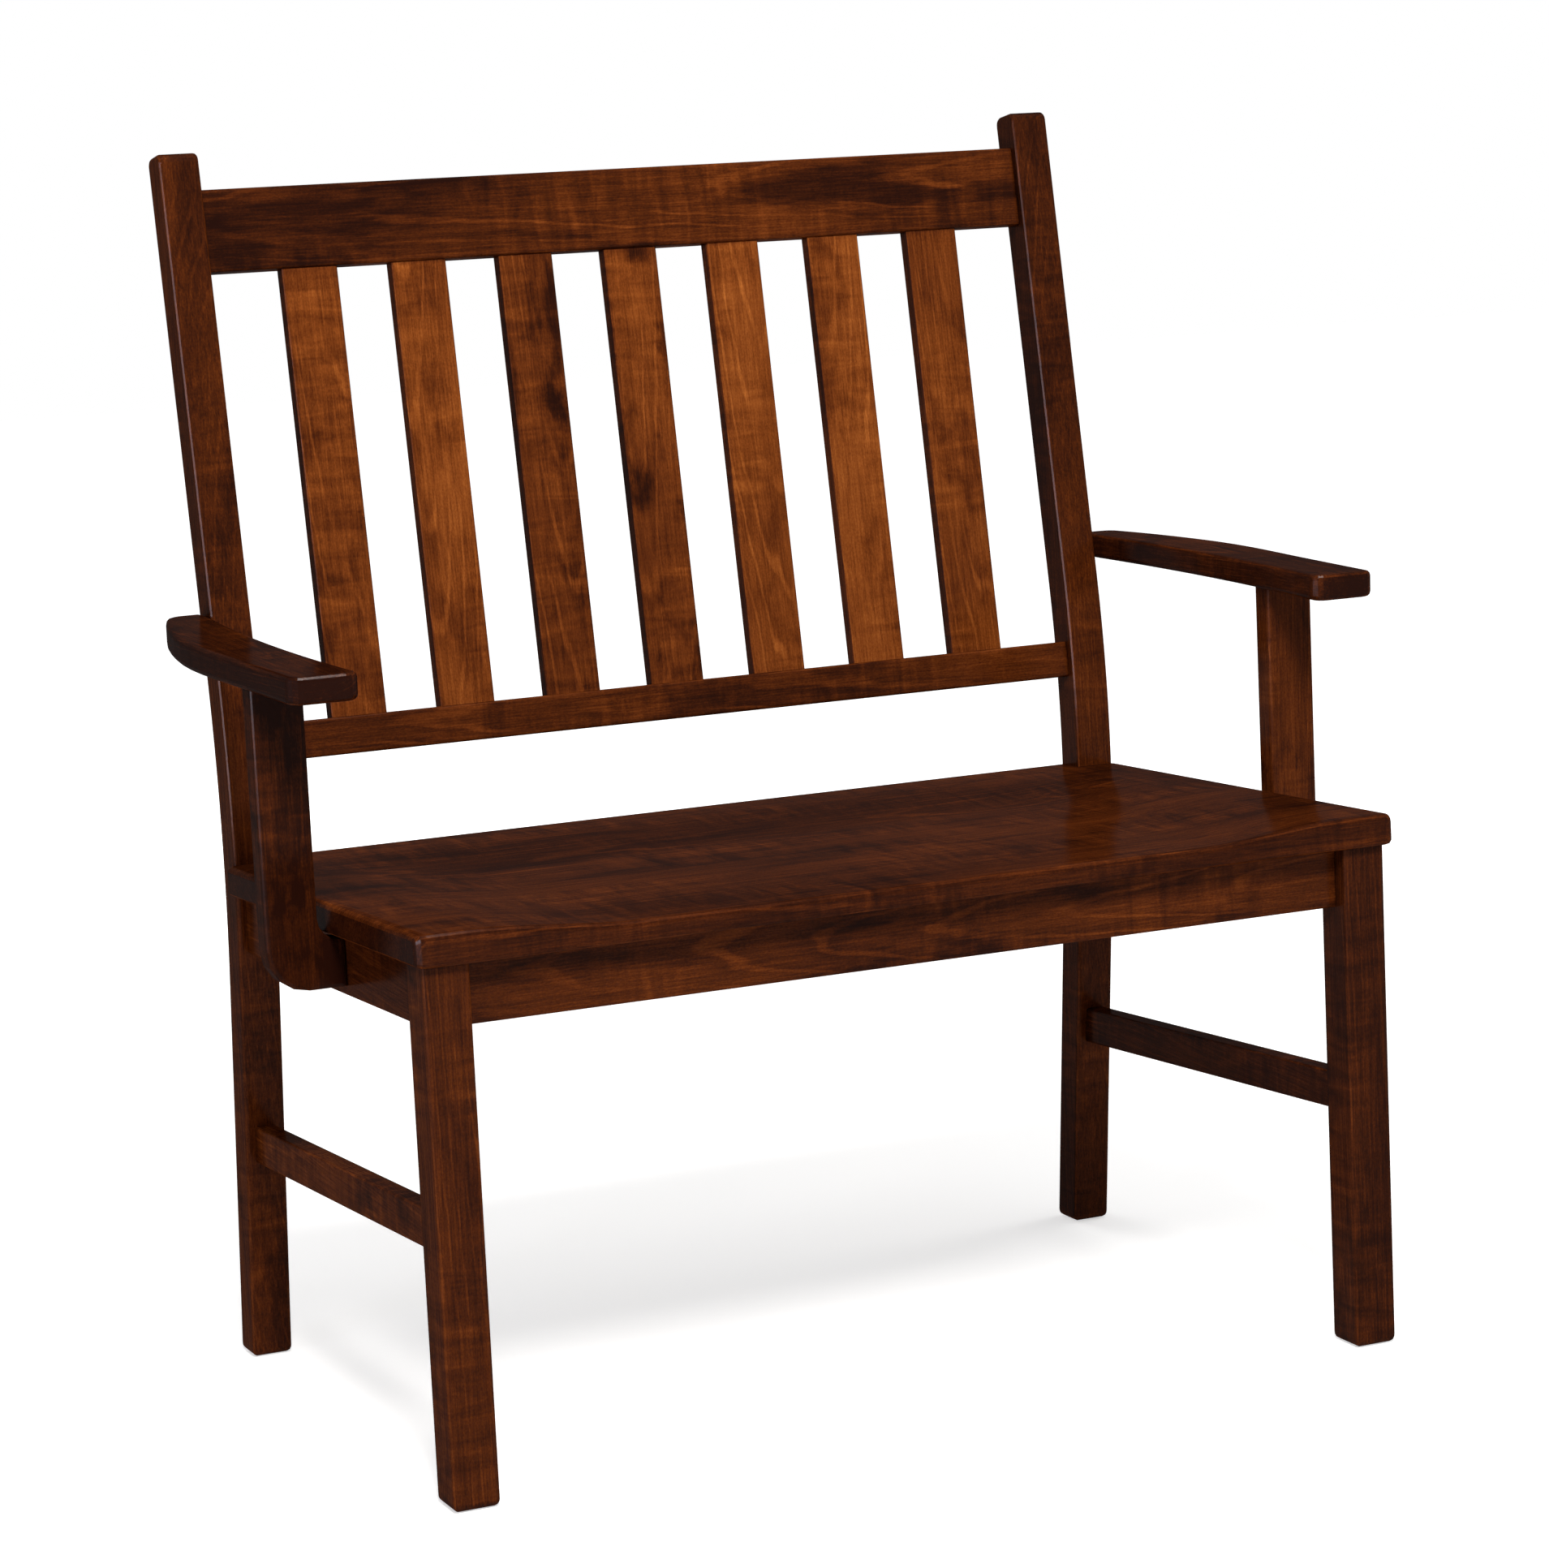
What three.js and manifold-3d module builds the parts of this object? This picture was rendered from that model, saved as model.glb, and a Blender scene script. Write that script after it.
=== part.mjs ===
// A deacons bench in stained maple: a slatted back, a scooped solid seat and two open arms.
// Lengths are in millimetres. X runs along the bench, Y from front to back and Z up.
// While the bench is built, Y = 0 lies at the knee of the rear posts, on their front face.
import * as THREE from "three";
import { mergeVertices, toCreasedNormals } from "three/addons/utils/BufferGeometryUtils.js";
import Module from "manifold-3d";

const wasm = await Module();
wasm.setup();

const degrees = THREE.MathUtils.degToRad;

// Overall sizes
const frameWidth = 880; // over the outer faces of the posts and legs
const frameDepth = 482; // from the front of the legs to the front of the rear posts
const seatHeight = 458; // floor to the seat, at the rear posts
const seatSlope = degrees(1.5); // the seat falls towards the back
const backHeight = 1080; // floor to the tops of the rear posts

// Fits between the pieces
const fit = 0.3; // gap that every glued or resting joint keeps
const overrun = 12; // how far a cutting shape runs past what it cuts

// Rear posts: one bent length each, a leg below the knee and a back post above it
const postWidth = 37;
const postDepth = 35;
const kneeHeight = 457; // the post is plumb here and curves away above and below
const kneeRadius = 1100;
const backRake = degrees(9.4);
const legRake = degrees(6);
const postCrown = 8; // rounding of the top end, front and back
const postEdge = 3.5;

// Front legs
const legWidth = 40;
const legDepth = 40;
const legEdge = 3.5;
const footEase = 7; // rounding of the feet, on all four sides

// Seat
const seatThickness = 27;
const seatFrontOverhang = 8.5;
const seatEndOverhang = 6.5;
const seatCorner = 9; // rounding of the front corners, seen from above
const seatTopEdge = 5;
const seatUnderEdge = 3;
const scoopDepth = 9.5;
const scoopEndMargin = 42; // flat left at each end of the seat
const scoopEndRun = 150; // over which the scoop comes to its full depth
const scoopRearMargin = 45;
const scoopRearRun = 150;

// Back: two rails with slats housed between them
const crestHeight = 73.5;
const crestDrop = 33.5; // below the tops of the posts
const lowerRailHeight = 33.5;
const lowerRailGap = 86.5; // above the seat
const railThickness = 20;
const railInset = 8; // behind the front of the posts
const railEdge = 2.5;
const railTenon = 20;
const slatCount = 7;
const slatWidth = 52.5;
const slatEndGap = 67.5; // between a post and the slat beside it
const slatThickness = 14;
const slatSetback = 3; // behind the front of the rails
const slatHousing = 10; // how deep a slat stands in each rail
const slatEdge = 2;

// Aprons under the seat
const apronThickness = 19;
const apronHeight = 52.5;
const frontApronInset = 15; // behind the front of the legs
const sideApronInset = 8; // inside the outer faces of the legs
const rearApronInset = 2; // in front of the back of the posts
const apronEdge = 2;
const apronTenon = 12;
const tenonShoulder = 4; // step from a rail's face in to its tenon

// Side stretchers
const stretcherThickness = 19;
const stretcherHeight = 33.5;
const stretcherFrontTop = 240; // floor to its upper edge, at the front of the leg
const stretcherRearTop = 218; // floor to its upper edge, below the knee
const stretcherEdge = 2.5;
const stretcherTenon = 18;

// Arms: flat boards, bowed in plan, fixed to the outer faces of the posts
const armHeight = 677; // floor to the top of the arm, at the post
const armSlope = degrees(1.35); // the arm falls towards the front
const armThickness = 23;
const armReach = 404; // forwards from the front of the post
const armTail = 26; // backwards from the front of the post
const armWidth = 69; // from the line of the post to the widest place
const armInnerBow = 9;
const armHeelRadius = 18; // outer corner at the back
const armToeRadius = 12; // both corners at the front
const armTailRadius = 6; // inner corner at the back
const armEdge = 4.5;

// Arm posts: boards sawn to a J that passes round the seat and in under it
const armPostWidth = 45.5;
const armPostThickness = 23.5;
const armPostGap = 15; // between the side of the frame and the post
const armPostSetback = 207.5; // behind the front of the legs
const armFootBottom = 394; // floor to the underside of the foot
const armFootHeight = 41;
const armFootOuterRadius = 36;
const armFootInnerRadius = 18;
const armPostEdge = 3.5;
const armPostTenonWidth = 25;
const armPostTenonLength = 12;

// Dowels between arm and post
const dowelRadius = 4;
const dowelInPost = 18;
const dowelInArm = 22;
const dowelPitch = 12;

// Corner blocks under the seat
const blockReach = 62; // along each apron from the leg's corner
const blockHeight = 40;
const blockEdge = 1.5;

// Countersunk screws
const screwHeadRadius = 4.5;
const screwHeadHeight = 3.2;
const screwShankRadius = 2.2;
const screwTip = 5;
const seatScrewLength = 38;
const seatScrewRecess = 14; // depth of the hole that its head sits in
const footScrewLength = 45;
const footScrewPitch = 18;

// How finely curves are divided
const edgeSteps = 3;
const cornerSteps = 4;
const kneeSteps = 12;
const bowSteps = 10;
const armEdgeSteps = 14;
const roundSides = 14;
const roundingShare = 0.98; // most of a side that the rounding of one corner takes
const creaseAngle = degrees(40);

// Places that follow from the sizes above
const frameSide = frameWidth / 2;
const legFront = -frameDepth;
const legRear = legFront + legDepth;
const seatFront = legFront - seatFrontOverhang;
const underSeat = -seatThickness - fit; // in the seat's own frame
const sideApronX = frameSide - sideApronInset - apronThickness / 2;
const postX = frameSide - postWidth / 2;
const legX = frameSide - legWidth / 2;
const betweenPosts = frameWidth - 2 * postWidth;
const betweenLegs = frameWidth - 2 * legWidth;

// Turns drawings made in another plane to stand in the bench
const axisX = new THREE.Vector3(1, 0, 0);
const axisY = new THREE.Vector3(0, 1, 0);
const axisZ = new THREE.Vector3(0, 0, 1);
const drawnFromTheSide = new THREE.Matrix4().makeBasis(axisY, axisZ, axisX);
const drawnFromTheFront = new THREE.Matrix4().makeBasis(axisX, axisZ, axisY.clone().negate());

// Solids and their geometry
function solidOf(geometry, matrix = new THREE.Matrix4()) {
  const bare = geometry.clone();
  bare.deleteAttribute("normal");
  bare.deleteAttribute("uv");
  const closed = mergeVertices(bare).applyMatrix4(matrix);
  return new wasm.Manifold(
    new wasm.Mesh({
      numProp: 3,
      vertProperties: closed.attributes.position.array,
      triVerts: new Uint32Array(closed.index.array),
    }),
  );
}

function geometryOf(solid) {
  const mesh = solid.getMesh();
  const geometry = new THREE.BufferGeometry();
  geometry.setAttribute("position", new THREE.BufferAttribute(mesh.vertProperties, 3));
  geometry.setIndex(new THREE.BufferAttribute(mesh.triVerts, 1));
  return geometry;
}

// The matrix that carries a shape from one node's frame to another's.
function fromTo(source, target) {
  bench.updateMatrixWorld(true);
  return target.matrixWorld.clone().invert().multiply(source.matrixWorld);
}

// Cuts a shape, drawn in the frame of holder, out of a piece.
function cut(piece, shape, holder) {
  const tool = solidOf(shape, fromTo(holder, piece));
  piece.geometry = geometryOf(solidOf(piece.geometry).subtract(tool));
}

// Adds a shape, drawn in the frame of holder, to a piece.
function join(piece, shape, holder) {
  const addition = solidOf(shape, fromTo(holder, piece));
  piece.geometry = geometryOf(solidOf(piece.geometry).add(addition));
}

// Keeps only the part of a piece that lies in a shape drawn in the piece's own frame.
function trim(piece, shape) {
  piece.geometry = geometryOf(solidOf(piece.geometry).intersect(solidOf(shape)));
}

// A box between two corners, made larger all round by grow.
function block(low, high, grow = 0) {
  const size = high.map((value, axis) => value - low[axis] + 2 * grow);
  const centre = high.map((value, axis) => (value + low[axis]) / 2);
  return new THREE.BoxGeometry(...size).translate(...centre);
}

// An outline whose corners, given as [x, y, radius], are rounded where they have a radius.
function rounded(corners) {
  const points = [];
  corners.forEach(([x, y, radius], index) => {
    const corner = new THREE.Vector2(x, y);
    const last = corners[(index + corners.length - 1) % corners.length];
    const next = corners[(index + 1) % corners.length];
    const back = new THREE.Vector2(last[0], last[1]).sub(corner);
    const ahead = new THREE.Vector2(next[0], next[1]).sub(corner);
    const room = Math.min(back.length(), ahead.length()) * roundingShare;
    back.normalize();
    ahead.normalize();
    const half = Math.acos(THREE.MathUtils.clamp(back.dot(ahead), -1, 1)) / 2;
    const reach = Math.min(radius / Math.tan(half), room);
    if (!radius || reach <= 0) {
      points.push(corner);
      return;
    }
    const trueRadius = reach * Math.tan(half);
    const centre = back.clone().add(ahead).normalize();
    centre.multiplyScalar(trueRadius / Math.sin(half)).add(corner);
    const start = corner.clone().addScaledVector(back, reach).sub(centre);
    const end = corner.clone().addScaledVector(ahead, reach).sub(centre);
    const turn = Math.atan2(start.cross(end), start.dot(end));
    for (let step = 0; step <= cornerSteps; step += 1) {
      const spoke = start.clone().rotateAround(new THREE.Vector2(), (turn * step) / cornerSteps);
      points.push(spoke.add(centre));
    }
  });
  return points;
}

// A board of the given outline, centred on its own plane, with its rims rounded by edge.
function board(outline, thickness, edge = 0) {
  const geometry = new THREE.ExtrudeGeometry(new THREE.Shape(outline), {
    depth: thickness - 2 * edge,
    bevelEnabled: edge > 0,
    bevelThickness: edge,
    bevelSize: edge,
    bevelOffset: -edge,
    bevelSegments: edgeSteps,
    steps: 1,
  });
  return geometry.translate(0, 0, edge - thickness / 2);
}

// A straight rail along X with rounded long edges.
function rail(length, thickness, height, edge) {
  const y = thickness / 2;
  const z = height / 2;
  const section = rounded([[-y, -z, edge], [y, -z, edge], [y, z, edge], [-y, z, edge]]);
  return board(section, length).applyMatrix4(drawnFromTheSide);
}

const woodTones = { post: 0x4a2012, rail: 0x5c2a14, slat: 0x6b3418, seat: 0x522414, arm: 0x40190f };

function wood(tone) {
  return new THREE.MeshStandardMaterial({ color: tone, roughness: 0.34, metalness: 0 });
}

function steel() {
  return new THREE.MeshStandardMaterial({ color: 0x9a9c9e, roughness: 0.4, metalness: 1 });
}

const bench = new THREE.Group();

function addFrame(parent, position, turn = 0) {
  const frame = new THREE.Group();
  frame.position.set(...position);
  frame.rotation.x = turn;
  parent.add(frame);
  return frame;
}

function addPiece(parent, name, geometry, material, position = [0, 0, 0]) {
  const piece = new THREE.Mesh(geometry, material);
  piece.name = name;
  piece.position.set(...position);
  parent.add(piece);
  return piece;
}

// The front of a rear post, at a height above the floor.
function postFrontAt(height) {
  const top = kneeHeight + kneeRadius * Math.sin(backRake);
  const bottom = kneeHeight - kneeRadius * Math.sin(legRake);
  if (height > top) {
    return kneeRadius * (1 - Math.cos(backRake)) + (height - top) * Math.tan(backRake);
  }
  if (height < bottom) {
    return kneeRadius * (1 - Math.cos(legRake)) + (bottom - height) * Math.tan(legRake);
  }
  return kneeRadius - Math.sqrt(kneeRadius ** 2 - (height - kneeHeight) ** 2);
}

// A rear post from the side: straight leg, long knee curve and straight back post.
function postOutline(grow = 0) {
  const centre = new THREE.Vector2(kneeRadius, kneeHeight);
  const frontRadius = kneeRadius + grow;
  const rearRadius = kneeRadius - postDepth - grow;
  const onArc = (radius, angle) => [
    centre.x - radius * Math.cos(angle),
    centre.y + radius * Math.sin(angle),
    0,
  ];
  const straightTop = backHeight - kneeHeight - kneeRadius * Math.sin(backRake);
  const topLength = straightTop / Math.cos(backRake) + grow;
  const alongTop = ([y, z], radius) => [
    y + topLength * Math.sin(backRake),
    z + topLength * Math.cos(backRake),
    radius,
  ];
  const downToFloor = ([y, z], radius) => [y + (z + grow) * Math.tan(legRake), -grow, radius];
  const outline = [downToFloor(onArc(frontRadius, -legRake), footEase)];
  for (let step = 0; step <= kneeSteps; step += 1) {
    outline.push(onArc(frontRadius, -legRake + ((backRake + legRake) * step) / kneeSteps));
  }
  outline.push(alongTop(onArc(frontRadius, backRake), postCrown));
  outline.push(alongTop(onArc(rearRadius, backRake), postCrown));
  for (let step = 0; step <= kneeSteps; step += 1) {
    outline.push(onArc(rearRadius, backRake - ((backRake + legRake) * step) / kneeSteps));
  }
  outline.push(downToFloor(onArc(rearRadius, -legRake), footEase));
  return rounded(outline);
}

// Frames that carry the sloping groups
const seatFrame = addFrame(bench, [0, 0, seatHeight], -seatSlope);

const lowerRailBottom = seatHeight + lowerRailGap;
const crestTop = backHeight - crestDrop;
const backLean = Math.atan2(
  postFrontAt(crestTop) - postFrontAt(lowerRailBottom),
  crestTop - lowerRailBottom,
);
const backFrame = addFrame(
  bench,
  [0, postFrontAt(lowerRailBottom) + railInset / Math.cos(backLean), lowerRailBottom],
  -backLean,
);
const backTop = (crestTop - lowerRailBottom) / Math.cos(backLean);

// Rear posts and front legs
const ends = [["left", -1], ["right", 1]];
const postShape = board(postOutline(), postWidth, postEdge).applyMatrix4(drawnFromTheSide);
const postEnvelope = board(postOutline(fit), postWidth + 2 * fit).applyMatrix4(drawnFromTheSide);

function legShape() {
  const top = seatHeight + frameDepth * Math.tan(seatSlope);
  const outline = rounded([
    [legFront, 0, footEase],
    [legRear, 0, footEase],
    [legRear, top, 0],
    [legFront, top, 0],
  ]);
  return board(outline, legWidth, legEdge).applyMatrix4(drawnFromTheSide);
}

// A slab as wide as a leg whose lower corners, seen from the front, are rounded
function footSpace(width) {
  const outline = rounded([
    [-width / 2, 0, footEase],
    [width / 2, 0, footEase],
    [width / 2, backHeight + overrun, 0],
    [-width / 2, backHeight + overrun, 0],
  ]);
  return board(outline, 4 * frameDepth).applyMatrix4(drawnFromTheFront);
}
const legEnvelope = block(
  [-legWidth / 2, legFront, 0],
  [legWidth / 2, legRear, seatHeight + frameDepth],
  fit,
);

// Everything above this plane, in the seat's frame, belongs to the seat.
const seatSpace = block(
  [-frameWidth, -2 * frameDepth, underSeat],
  [frameWidth, frameDepth, seatHeight],
);

const posts = {};
const legs = {};
for (const [end, side] of ends) {
  posts[end] = addPiece(bench, `rear_post_${end}`, postShape.clone(), wood(woodTones.post), [
    side * postX, 0, 0,
  ]);
  legs[end] = addPiece(bench, `front_leg_${end}`, legShape(), wood(woodTones.post), [
    side * legX, 0, 0,
  ]);
  cut(legs[end], seatSpace, seatFrame);
  trim(posts[end], footSpace(postWidth));
  trim(legs[end], footSpace(legWidth));
}

// Seat: a solid panel with a wide, shallow scoop that runs out through its front edge
function scoopAt(x, y) {
  const fromEnd = frameSide + seatEndOverhang - Math.abs(x) - scoopEndMargin;
  const fromRear = postDepth - y - scoopRearMargin;
  const across = THREE.MathUtils.smoothstep(fromEnd, 0, scoopEndRun);
  const along = THREE.MathUtils.smoothstep(fromRear, 0, scoopRearRun);
  return scoopDepth * across * along;
}

// One slice of the seat from front to back; inset draws it in towards the ends' rounding.
function seatSlice(x, inset) {
  const front = seatFront + seatCorner * inset;
  const rear = postDepth - seatCorner * inset;
  const topDrop = seatTopEdge * inset;
  const bottom = -seatThickness + seatUnderEdge * inset;
  const slice = [];
  const corner = (y, z, radius, from) => {
    for (let step = 0; step <= edgeSteps; step += 1) {
      const angle = from - (Math.PI / 2) * (step / edgeSteps);
      slice.push([x, y + radius * Math.cos(angle), z + radius * Math.sin(angle)]);
    }
  };
  const frontTop = -scoopAt(x, front) - topDrop;
  corner(front + seatUnderEdge, bottom + seatUnderEdge, seatUnderEdge, -Math.PI / 2);
  corner(front + seatTopEdge, frontTop - seatTopEdge, seatTopEdge, Math.PI);
  const scoopRear = postDepth - scoopRearMargin;
  for (let step = 1; step <= bowSteps; step += 1) {
    const y = scoopRear - scoopRearRun * (1 - step / bowSteps);
    slice.push([x, y, -scoopAt(x, y) - topDrop]);
  }
  corner(rear - seatTopEdge, -topDrop - seatTopEdge, seatTopEdge, Math.PI / 2);
  corner(rear - seatUnderEdge, bottom + seatUnderEdge, seatUnderEdge, 0);
  return slice;
}

function seatGeometry() {
  const end = frameSide + seatEndOverhang;
  const stations = [];
  for (let step = 0; step <= edgeSteps; step += 1) {
    const angle = (Math.PI / 2) * (step / edgeSteps);
    stations.push([end - seatCorner * (1 - Math.cos(angle)), 1 - Math.sin(angle)]);
  }
  for (let step = 0; step <= bowSteps; step += 1) {
    stations.push([end - scoopEndMargin - (scoopEndRun * step) / bowSteps, 0]);
  }
  const mirrored = stations.map(([x, inset]) => [-x, inset]).reverse();
  const slices = [...stations, ...mirrored].map(([x, inset]) => seatSlice(x, inset));
  const around = slices[0].length;
  const points = slices.flat();
  const faces = [];
  for (let ring = 0; ring < slices.length - 1; ring += 1) {
    for (let spot = 0; spot < around; spot += 1) {
      const next = (spot + 1) % around;
      const a = ring * around + spot;
      const b = ring * around + next;
      faces.push([a, b + around, a + around], [a, b, b + around]);
    }
  }
  const last = points.length - around;
  for (let spot = 1; spot < around - 1; spot += 1) {
    faces.push([0, spot + 1, spot], [last, last + spot, last + spot + 1]);
  }
  const geometry = new THREE.BufferGeometry();
  geometry.setAttribute("position", new THREE.Float32BufferAttribute(points.flat(), 3));
  geometry.setIndex(faces.flat());
  return geometry;
}

const seat = addPiece(seatFrame, "seat", seatGeometry(), wood(woodTones.seat));
const notchX = frameSide - postWidth - fit;
for (const [, side] of ends) {
  const outer = frameSide + seatEndOverhang + overrun;
  const [low, high] = side < 0 ? [-outer, -notchX] : [notchX, outer];
  const notch = block(
    [low, -fit, seatHeight - 2 * seatThickness],
    [high, postDepth + overrun, seatHeight + seatThickness],
  );
  cut(seat, notch, bench);
}

// Back rails and slats, in the frame that leans with the back
function addBackRail(name, bottom, height) {
  const middle = [0, railThickness / 2, bottom + height / 2];
  const length = betweenPosts - 2 * fit;
  const shape = rail(length, railThickness, height, railEdge);
  const piece = addPiece(backFrame, name, shape, wood(woodTones.rail), middle);
  const low = [0, tenonShoulder, bottom + tenonShoulder];
  const high = [0, railThickness - tenonShoulder, bottom + height - tenonShoulder];
  for (const [end, side] of ends) {
    const root = side * (betweenPosts / 2 - overrun);
    const tip = side * (betweenPosts / 2 + railTenon);
    low[0] = Math.min(root, tip);
    high[0] = Math.max(root, tip);
    join(piece, block(low, high), backFrame);
    cut(posts[end], block(low, high, fit), backFrame);
  }
  return piece;
}
const crestRail = addBackRail("crest_rail", backTop - crestHeight, crestHeight);
const lowerRail = addBackRail("lower_back_rail", 0, lowerRailHeight);

const slatLength = backTop - crestHeight - lowerRailHeight + 2 * slatHousing;
function slatSection(grow) {
  const x = slatWidth / 2 + grow;
  const y = slatThickness / 2 + grow;
  const edge = slatEdge;
  return rounded([[-x, -y, edge], [x, -y, edge], [x, y, edge], [-x, y, edge]]);
}
const slatPitch = (betweenPosts - 2 * slatEndGap - slatWidth) / (slatCount - 1);
for (let index = 0; index < slatCount; index += 1) {
  const place = [
    (index - (slatCount - 1) / 2) * slatPitch,
    slatSetback + slatThickness / 2,
    lowerRailHeight - slatHousing + slatLength / 2,
  ];
  const shape = board(slatSection(0), slatLength);
  const slat = addPiece(backFrame, `back_slat_${index + 1}`, shape, wood(woodTones.slat), place);
  const housing = board(slatSection(fit), slatLength + 2 * fit);
  cut(crestRail, housing, slat);
  cut(lowerRail, housing, slat);
}

// Front and rear aprons, plumb between the legs and between the posts
function addCrossApron(name, hosts, span, y, bottom, top) {
  const height = top - bottom;
  const middle = [0, y, bottom + height / 2];
  const shape = rail(span - 2 * fit, apronThickness, height, apronEdge);
  const apron = addPiece(bench, name, shape, wood(woodTones.rail), middle);
  cut(apron, seatSpace, seatFrame);
  const low = [0, y - apronThickness / 2 + tenonShoulder, bottom + tenonShoulder];
  const high = [0, y + apronThickness / 2 - tenonShoulder, bottom + apronHeight - 2 * tenonShoulder];
  for (const [end, side] of ends) {
    const root = side * (span / 2 - overrun);
    const tip = side * (span / 2 + apronTenon);
    low[0] = Math.min(root, tip);
    high[0] = Math.max(root, tip);
    join(apron, block(low, high), bench);
    cut(hosts[end], block(low, high, fit), bench);
  }
  return apron;
}
const seatTopAt = (y) => seatHeight - y * Math.tan(seatSlope);
const apronTopAt = (y) => seatTopAt(y) - seatThickness / Math.cos(seatSlope);
const frontApronY = legFront + frontApronInset + apronThickness / 2;
const frontApron = addCrossApron(
  "front_apron",
  legs,
  betweenLegs,
  frontApronY,
  apronTopAt(frontApronY) - apronHeight,
  seatTopAt(frontApronY),
);
const rearApronY = postDepth - rearApronInset - apronThickness / 2;
const rearApron = addCrossApron(
  "rear_apron",
  posts,
  betweenPosts,
  rearApronY,
  apronTopAt(rearApronY) - apronHeight,
  seatTopAt(rearApronY),
);

// A rail between a front leg and a rear post, scribed to both, with a tenon in each
function addSideRail(frame, name, end, x, top, height, thickness, edge, tenon) {
  const from = legFront - overrun;
  const to = postDepth + kneeRadius * (1 - Math.cos(legRake)) + overrun;
  const shape = rail(to - from, thickness, height, edge).rotateZ(Math.PI / 2);
  const middle = [x, (from + to) / 2, top - height / 2];
  const piece = addPiece(frame, name, shape, wood(woodTones.rail), middle);
  cut(piece, legEnvelope, legs[end]);
  cut(piece, postEnvelope, posts[end]);
  const pieces = solidOf(piece.geometry).decompose();
  pieces.sort((one, other) => other.volume() - one.volume());
  piece.geometry = geometryOf(pieces[0]);
  const postFace = postFrontAt(frame.position.z + top - height / 2);
  const low = [
    x - thickness / 2 + tenonShoulder,
    legRear - tenon,
    top - height + tenonShoulder,
  ];
  const high = [x + thickness / 2 - tenonShoulder, postFace + tenon, top - tenonShoulder];
  const tongue = block(low, high);
  const mortise = block(low, high, fit);
  join(piece, tongue, frame);
  cut(legs[end], mortise, frame);
  cut(posts[end], mortise, frame);
  return piece;
}

// Side aprons follow the seat's slope, side stretchers have a steeper one of their own.
const sideAprons = {};
const stretcherSlope = Math.atan2(stretcherFrontTop - stretcherRearTop, frameDepth);
for (const [end, side] of ends) {
  sideAprons[end] = addSideRail(
    seatFrame,
    `side_apron_${end}`,
    end,
    side * sideApronX,
    underSeat,
    apronHeight,
    apronThickness,
    apronEdge,
    apronTenon,
  );
  const stretcherFrame = addFrame(bench, [0, 0, stretcherRearTop], -stretcherSlope);
  addSideRail(
    stretcherFrame,
    `side_stretcher_${end}`,
    end,
    side * postX,
    0,
    stretcherHeight,
    stretcherThickness,
    stretcherEdge,
    stretcherTenon,
  );
}

// The outer edge of an arm as [share of its length from the front, share of its width].
const armEdgeShares = [
  [0, 0.88],
  [0.1, 0.9],
  [0.3, 0.945],
  [0.5, 1],
  [0.64, 0.965],
  [0.76, 0.855],
  [0.88, 0.695],
  [1, 0.47],
];

// The outline of an arm; x = 0 is the line of the post's outer face.
function armOutline(side) {
  const length = armReach + armTail;
  const outer = new THREE.SplineCurve(
    armEdgeShares.map(([along, wide]) => (
      new THREE.Vector2(side * armWidth * wide, armTail - length * (1 - along))
    )),
  ).getSpacedPoints(armEdgeSteps);
  const inner = [];
  for (let step = 1; step < bowSteps; step += 1) {
    const along = step / bowSteps;
    inner.push([side * armInnerBow * 4 * along * (1 - along), -armReach * along, 0]);
  }
  const toe = outer.shift();
  const heel = outer.pop();
  return rounded([
    [0, armTail, armTailRadius],
    [0, 0, 0],
    ...inner,
    [0, -armReach, armToeRadius],
    [toe.x, toe.y, armToeRadius],
    ...outer.map(({ x, y }) => [x, y, 0]),
    [heel.x, heel.y, armHeelRadius],
  ]);
}

// A J seen from the front: upright outside the seat, foot turned in to the side apron
function armPostOutline(side) {
  const inner = frameSide + armPostGap;
  const outer = inner + armPostWidth;
  const footEnd = frameSide - sideApronInset + fit;
  const footTop = armFootBottom + armFootHeight;
  return rounded([
    [side * footEnd, armFootBottom, 0],
    [side * outer, armFootBottom, armFootOuterRadius],
    [side * outer, armHeight, 0],
    [side * inner, armHeight, 0],
    [side * inner, footTop, armFootInnerRadius],
    [side * footEnd, footTop, 0],
  ]);
}

// A countersunk screw that points along +Z, with the face of its head at z = 0
function screwShape(length, grow = 0) {
  const head = screwHeadRadius + grow;
  const shank = screwShankRadius + grow;
  const profile = [
    [0, -grow],
    [head, -grow],
    [head, grow],
    [shank, screwHeadHeight],
    [shank, length - screwTip],
    [0, length + grow],
  ];
  const points = profile.filter((point, index) => grow > 0 || index !== 2);
  return new THREE.LatheGeometry(points.map(([x, y]) => new THREE.Vector2(x, y)), roundSides)
    .rotateX(Math.PI / 2);
}

function rod(radius, length) {
  return new THREE.CylinderGeometry(radius, radius, length, roundSides);
}

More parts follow.
